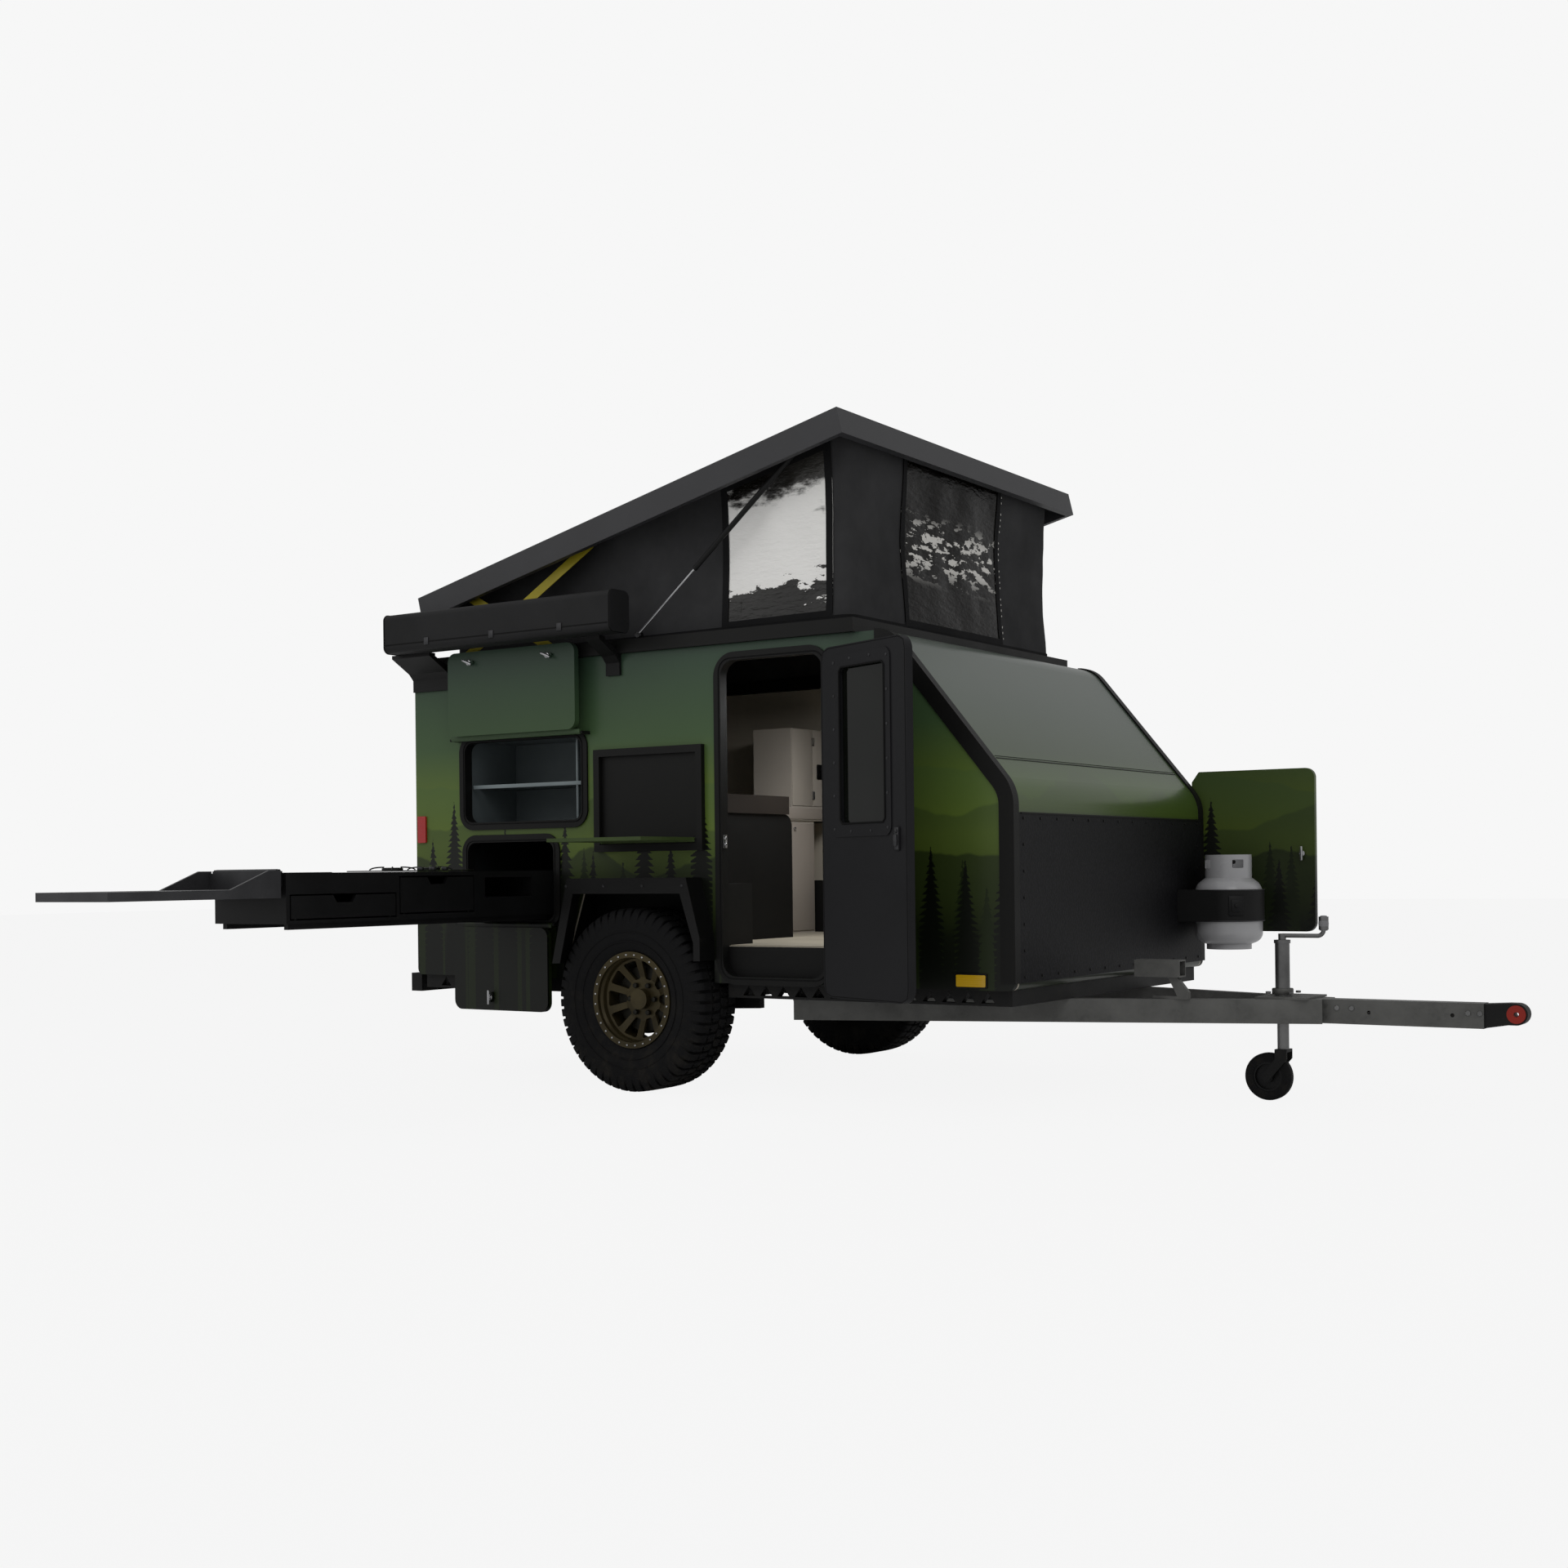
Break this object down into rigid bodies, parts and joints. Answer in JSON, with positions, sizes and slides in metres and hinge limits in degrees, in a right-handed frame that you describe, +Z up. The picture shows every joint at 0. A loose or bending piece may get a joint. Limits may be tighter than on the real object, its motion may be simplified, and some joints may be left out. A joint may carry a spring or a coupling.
{
  "type": "off-road camper trailer",
  "caption": "Off-road camper trailer with a tilting pop-up lid and canvas, slide-out kitchen, swing-up hatches, side door, fold-down table, drawbar jack and coupling.",
  "frame": {"origin": "centre of the coupling's cross bore", "axes": "+X forward, +Y to the trailer's left, +Z up"},
  "size_m": [5.127, 4.575, 2.9075],
  "materials": {
    "green_panel": "satin",
    "black_plastic": "matte",
    "black_metal": "satin",
    "galvanised": "satin",
    "pale_board": "matte",
    "dark_board": "matte",
    "canvas": "matte",
    "glass": "clear",
    "tyre": "matte",
    "bronze_rim": "satin",
    "yellow_bar": "satin",
    "red_bush": "matte",
    "lamp": "gloss",
    "white_bottle": "gloss"
  },
  "bodies": {
    "trailer": {"chassis_frame": "black_metal", "drawbar": "galvanised", "coupling": "black_metal", "coupling_bush": "red_bush", "receiver_stub": "galvanised", "trailing_arms": "black_metal", "air_springs": "tyre", "wall_right": "green_panel", "wall_left": "green_panel", "wall_rear": "green_panel", "front_shell": "green_panel", "floor_box": "pale_board", "front_guard": "black_plastic", "corner_trims": "black_plastic", "top_rail": "black_metal", "fenders": "black_plastic", "wheel_wells": "black_plastic", "opening_frames": "black_plastic", "table_frame": "black_plastic", "pantry_box": "dark_board", "kitchen_bay": "dark_board", "black_cabinet": "dark_board", "cabinet_slab": "dark_board", "pale_cabinets": "pale_board", "awning_case": "canvas", "awning_brackets": "black_metal", "gas_bottle": "white_bottle", "bottle_bracket": "black_metal", "jack_tube": "galvanised", "lamps": "lamp", "rear_bumper": "black_metal", "window_frames": "black_plastic", "window_panes": "glass", "canvas": "canvas"},
    "lid": {"lid_fascia": "black_metal", "lid_roof": "black_metal"},
    "long_arms": {"arms_long": "yellow_bar"},
    "short_arms": {"arms_short": "yellow_bar"},
    "tubes": {"strut_tubes": "black_metal"},
    "rods": {"strut_rods": "galvanised"},
    "door": {"entry_door": "black_metal", "door_pane": "glass"},
    "pantry_door": {"pantry_hatch": "green_panel"},
    "table": {"table_leaf": "black_metal"},
    "galley_door": {"galley_hatch": "green_panel"},
    "locker_door": {"locker_hatch": "green_panel"},
    "kitchen": {"kitchen_box": "black_metal", "worktop": "black_metal"},
    "lower_drawer": {"drawer_lower": "black_metal"},
    "upper_drawer": {"drawer_upper": "black_metal"},
    "end_leaf": {"kitchen_leaf": "black_metal"},
    "right_wheel": {"tyre_right": "tyre", "rim_right": "bronze_rim"},
    "left_wheel": {"tyre_left": "tyre", "rim_left": "bronze_rim"},
    "leg": {"jack_leg": "galvanised"},
    "fork": {"jockey_fork": "galvanised"},
    "small_wheel": {"jockey_tyre": "tyre", "jockey_rim": "galvanised"}
  },
  "joints": [
    {"name": "lid_lift", "type": "hinge", "parent": "trailer", "child": "lid", "pos_m": [-5.49, 0, 1.745], "axis": [0, 1, 0], "range_deg": [0, 13.5], "deforming": ["canvas"]},
    {"name": "long_arm_fold", "type": "hinge", "parent": "trailer", "child": "long_arms", "pos_m": [-4.59, 0, 1.627], "axis": [0, 1, 0], "range_deg": [0, 26.7]},
    {"name": "short_arm_fold", "type": "hinge", "parent": "trailer", "child": "short_arms", "pos_m": [-4.003, 0, 1.627], "axis": [0, -1, 0], "range_deg": [0, 22.7]},
    {"name": "strut_swing", "type": "hinge", "parent": "lid", "child": "tubes", "pos_m": [-2.68027, 0, 2.37775], "axis": [0, 1, 0], "range_deg": [0, 23.9]},
    {"name": "strut_stroke", "type": "slide", "parent": "tubes", "child": "rods", "axis": [0.7712, 0, 0.6366], "range_m": [0, 0.1853]},
    {"name": "door_swing", "type": "hinge", "parent": "trailer", "child": "door", "pos_m": [-2.518, -1.066, 0.805], "axis": [0, 0, -1], "range_deg": [0, 157]},
    {"name": "pantry_hatch_swing", "type": "hinge", "parent": "trailer", "child": "pantry_door", "pos_m": [-4.251, -1.066, 1.241], "axis": [1, 0, 0], "range_deg": [0, 180]},
    {"name": "table_fold", "type": "hinge", "parent": "trailer", "child": "table", "pos_m": [-3.4945, -1.037, 0.735], "axis": [-1, 0, 0], "range_deg": [0, 90]},
    {"name": "galley_hatch_swing", "type": "hinge", "parent": "trailer", "child": "galley_door", "pos_m": [-4.33, -1.066, 0.357], "axis": [-1, 0, 0], "range_deg": [0, 50]},
    {"name": "locker_hatch_swing", "type": "hinge", "parent": "trailer", "child": "locker_door", "pos_m": [-1.762, 1.066, 0.605], "axis": [0, 0, 1], "range_deg": [0, 180]},
    {"name": "kitchen_slide", "type": "slide", "parent": "trailer", "child": "kitchen", "axis": [0, 1, 0], "range_m": [0, 1.61]},
    {"name": "lower_drawer_slide", "type": "slide", "parent": "kitchen", "child": "lower_drawer", "axis": [-1, 0, 0], "range_m": [-0.3, 0]},
    {"name": "upper_drawer_slide", "type": "slide", "parent": "kitchen", "child": "upper_drawer", "axis": [-1, 0, 0], "range_m": [-0.3, 0]},
    {"name": "end_leaf_fold", "type": "hinge", "parent": "kitchen", "child": "end_leaf", "pos_m": [-4.2825, -2.64, 0.617], "axis": [-1, 0, 0], "range_deg": [0, 180]},
    {"name": "right_wheel_spin", "type": "hinge", "parent": "trailer", "child": "right_wheel", "pos_m": [-3.57, -0.957, 0.0205], "axis": [0, 1, 0], "continuous": true},
    {"name": "left_wheel_spin", "type": "hinge", "parent": "trailer", "child": "left_wheel", "pos_m": [-3.57, 0.957, 0.0205], "axis": [0, 1, 0], "continuous": true},
    {"name": "jack_lift", "type": "slide", "parent": "trailer", "child": "leg", "axis": [0, 0, 1], "range_m": [0, 0.12]},
    {"name": "jockey_swivel", "type": "hinge", "parent": "leg", "child": "fork", "pos_m": [-0.94, 0, -0.195], "axis": [0, 0, 1], "continuous": true},
    {"name": "jockey_spin", "type": "hinge", "parent": "fork", "child": "small_wheel", "pos_m": [-1.002, 0, -0.295], "axis": [0, 1, 0], "continuous": true}
  ],
  "couplings": [
    {"joint": "long_arm_fold", "follows": "lid_lift", "ratio": 1.97},
    {"joint": "short_arm_fold", "follows": "lid_lift", "ratio": 1.67},
    {"joint": "strut_swing", "follows": "lid_lift", "ratio": 1.7632},
    {"joint": "strut_stroke", "follows": "lid_lift", "m_per_rad": 0.78231}
  ]
}
